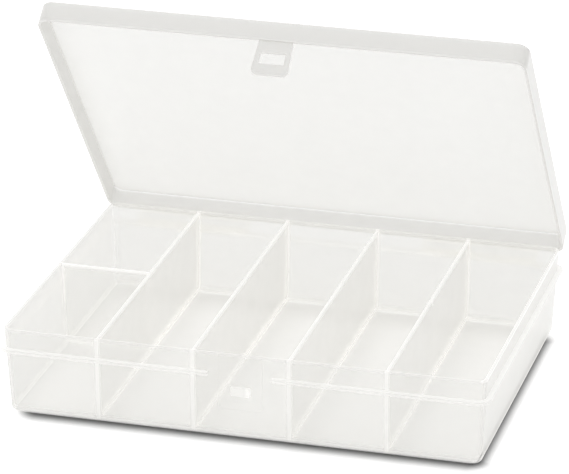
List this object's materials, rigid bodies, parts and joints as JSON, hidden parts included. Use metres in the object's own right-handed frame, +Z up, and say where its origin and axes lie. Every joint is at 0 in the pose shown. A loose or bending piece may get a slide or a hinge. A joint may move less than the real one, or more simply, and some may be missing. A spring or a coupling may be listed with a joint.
{
  "type": "compartment storage box",
  "caption": "Flat see-through plastic storage box with fixed dividers, a hinged skirted lid and a front latch tab.",
  "frame": {"origin": "middle of the tray's flat underside", "axes": "+X along the long side to the right seen from the latch, +Y from the latch side to the hinge side, +Z up"},
  "size_m": [0.2544, 0.1972, 0.1958],
  "materials": {
    "tray_plastic": "satin, milky see-through",
    "divider_plastic": "satin, milky see-through",
    "lid_panel_plastic": "satin, milky see-through",
    "lid_rim_plastic": "satin, milky see-through",
    "hinge_plastic": "satin, milky see-through",
    "latch_plastic": "satin, milky see-through"
  },
  "bodies": {
    "tray": {"tray_shell": "tray_plastic", "tray_ledge": "tray_plastic", "latch_catch": "tray_plastic", "long_divider_1": "divider_plastic", "long_divider_2": "divider_plastic", "long_divider_3": "divider_plastic", "long_divider_4": "divider_plastic", "cross_divider": "divider_plastic", "divider_guide": "divider_plastic", "hinge_strap_lower_left": "hinge_plastic", "hinge_strap_lower_right": "hinge_plastic"},
    "lid": {"lid_panel": "lid_panel_plastic", "lid_skirt": "lid_rim_plastic", "hinge_strap_upper_left": "hinge_plastic", "hinge_strap_upper_right": "hinge_plastic"},
    "latch": {"latch_tab": "latch_plastic"}
  },
  "joints": [
    {"name": "lid_hinge", "type": "hinge", "parent": "tray", "child": "lid", "pos_m": [0, 0.1011, 0.0397], "axis": [-1, 0, 0], "range_deg": [-51, 137]},
    {"name": "latch_flex", "type": "hinge", "parent": "lid", "child": "latch", "pos_m": [0, -0.02389, 0.18837], "axis": [-1, 0, 0], "range_deg": [-6, 20]}
  ]
}
